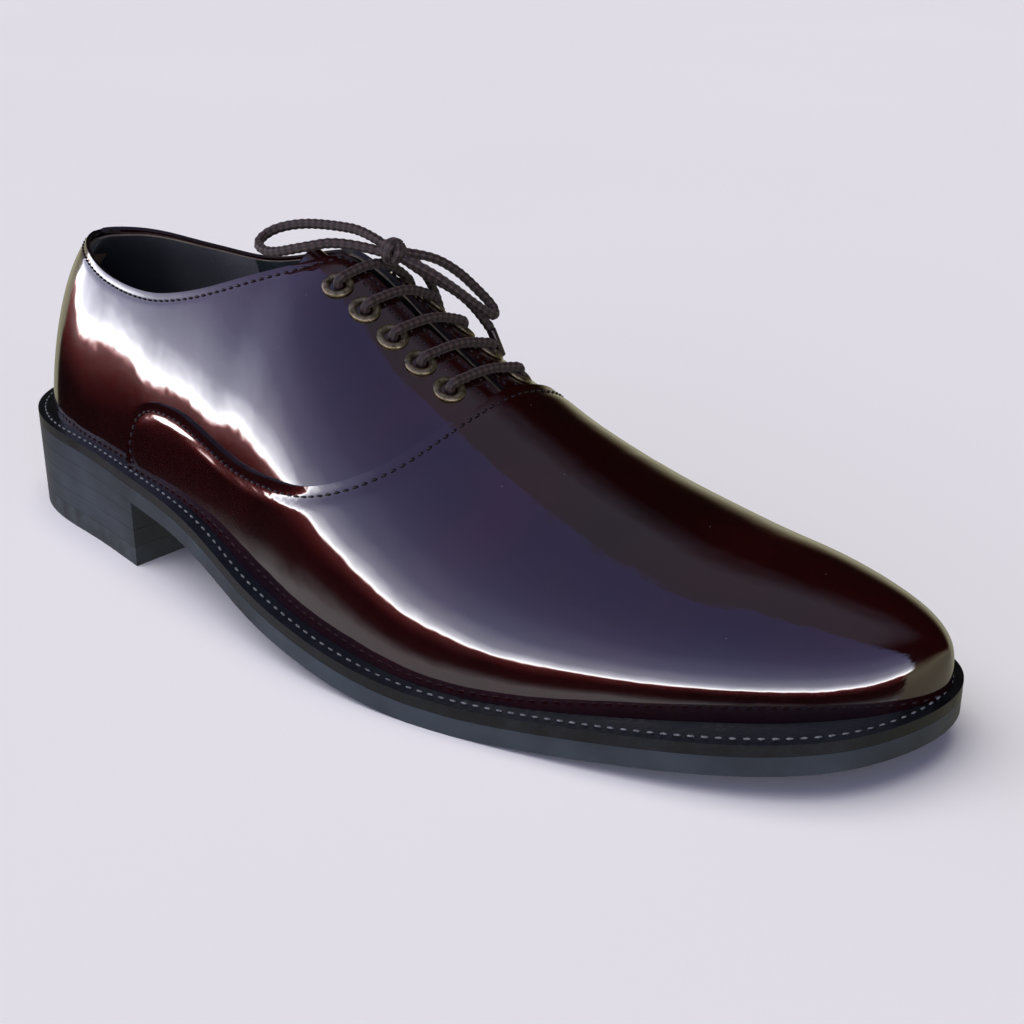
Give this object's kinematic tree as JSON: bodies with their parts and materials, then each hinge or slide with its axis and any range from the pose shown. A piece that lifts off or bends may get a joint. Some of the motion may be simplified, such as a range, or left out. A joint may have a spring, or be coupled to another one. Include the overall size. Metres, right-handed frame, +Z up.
{
  "type": "oxford shoe",
  "caption": "Right-foot laced oxford shoe in glossy patent leather, with a welted sole, stacked heel, brass eyelets and a tied bow.",
  "frame": {"origin": "on the floor, under the middle of the sole's length and width", "axes": "+X to the toe, +Y to the medial (inner) side of this right shoe, +Z up"},
  "size_m": [0.305, 0.1063, 0.1001],
  "materials": {
    "aglet_plastic": "gloss",
    "antique_brass": "satin",
    "cork": "matte",
    "fibre_board": "matte",
    "heel_grip_suede": "matte",
    "heel_leather": "satin",
    "heel_rubber": "matte",
    "lace_cotton": "matte",
    "lining_leather": "matte",
    "nail_brass": "satin",
    "patent_leather": "gloss",
    "sole_leather": "satin",
    "spring_steel": "satin",
    "stay_tape": "matte",
    "welt_leather": "satin"
  },
  "bodies": {
    "shoe": {"aglet_front": "aglet_plastic", "aglet_side": "aglet_plastic", "bow_loop_back": "lace_cotton", "bow_loop_front": "lace_cotton", "cork_filler": "cork", "eyelets_lateral": "antique_brass", "eyelets_medial": "antique_brass", "facing_stay_lateral": "stay_tape", "facing_stay_medial": "stay_tape", "heel_counter": "fibre_board", "heel_lift_lower": "heel_leather", "heel_lift_upper": "heel_leather", "heel_lining": "heel_grip_suede", "heel_nails": "nail_brass", "heel_seat_lift": "heel_leather", "insole_board": "fibre_board", "lace_bars": "lace_cotton", "lace_end_front": "lace_cotton", "lace_end_side": "lace_cotton", "lace_inner_runs": "lace_cotton", "lace_knot": "lace_cotton", "outsole": "sole_leather", "quarter_lateral": "patent_leather", "quarter_lining_lateral": "lining_leather", "quarter_lining_medial": "lining_leather", "quarter_medial": "patent_leather", "shank": "spring_steel", "sock_liner": "lining_leather", "toe_puff": "fibre_board", "top_piece": "heel_rubber", "vamp": "patent_leather", "vamp_lining": "lining_leather", "welt": "welt_leather"},
    "tongue": {"tongue": "patent_leather", "tongue_lining": "lining_leather"}
  },
  "joints": [
    {"name": "tongue_fold", "type": "hinge", "parent": "shoe", "child": "tongue", "pos_m": [0.03, 0.002, 0.058], "axis": [0, 1, 0], "range_deg": [-16, 0], "stiffness_Nm_per_rad": 0.15, "springref_deg": 8.59}
  ]
}
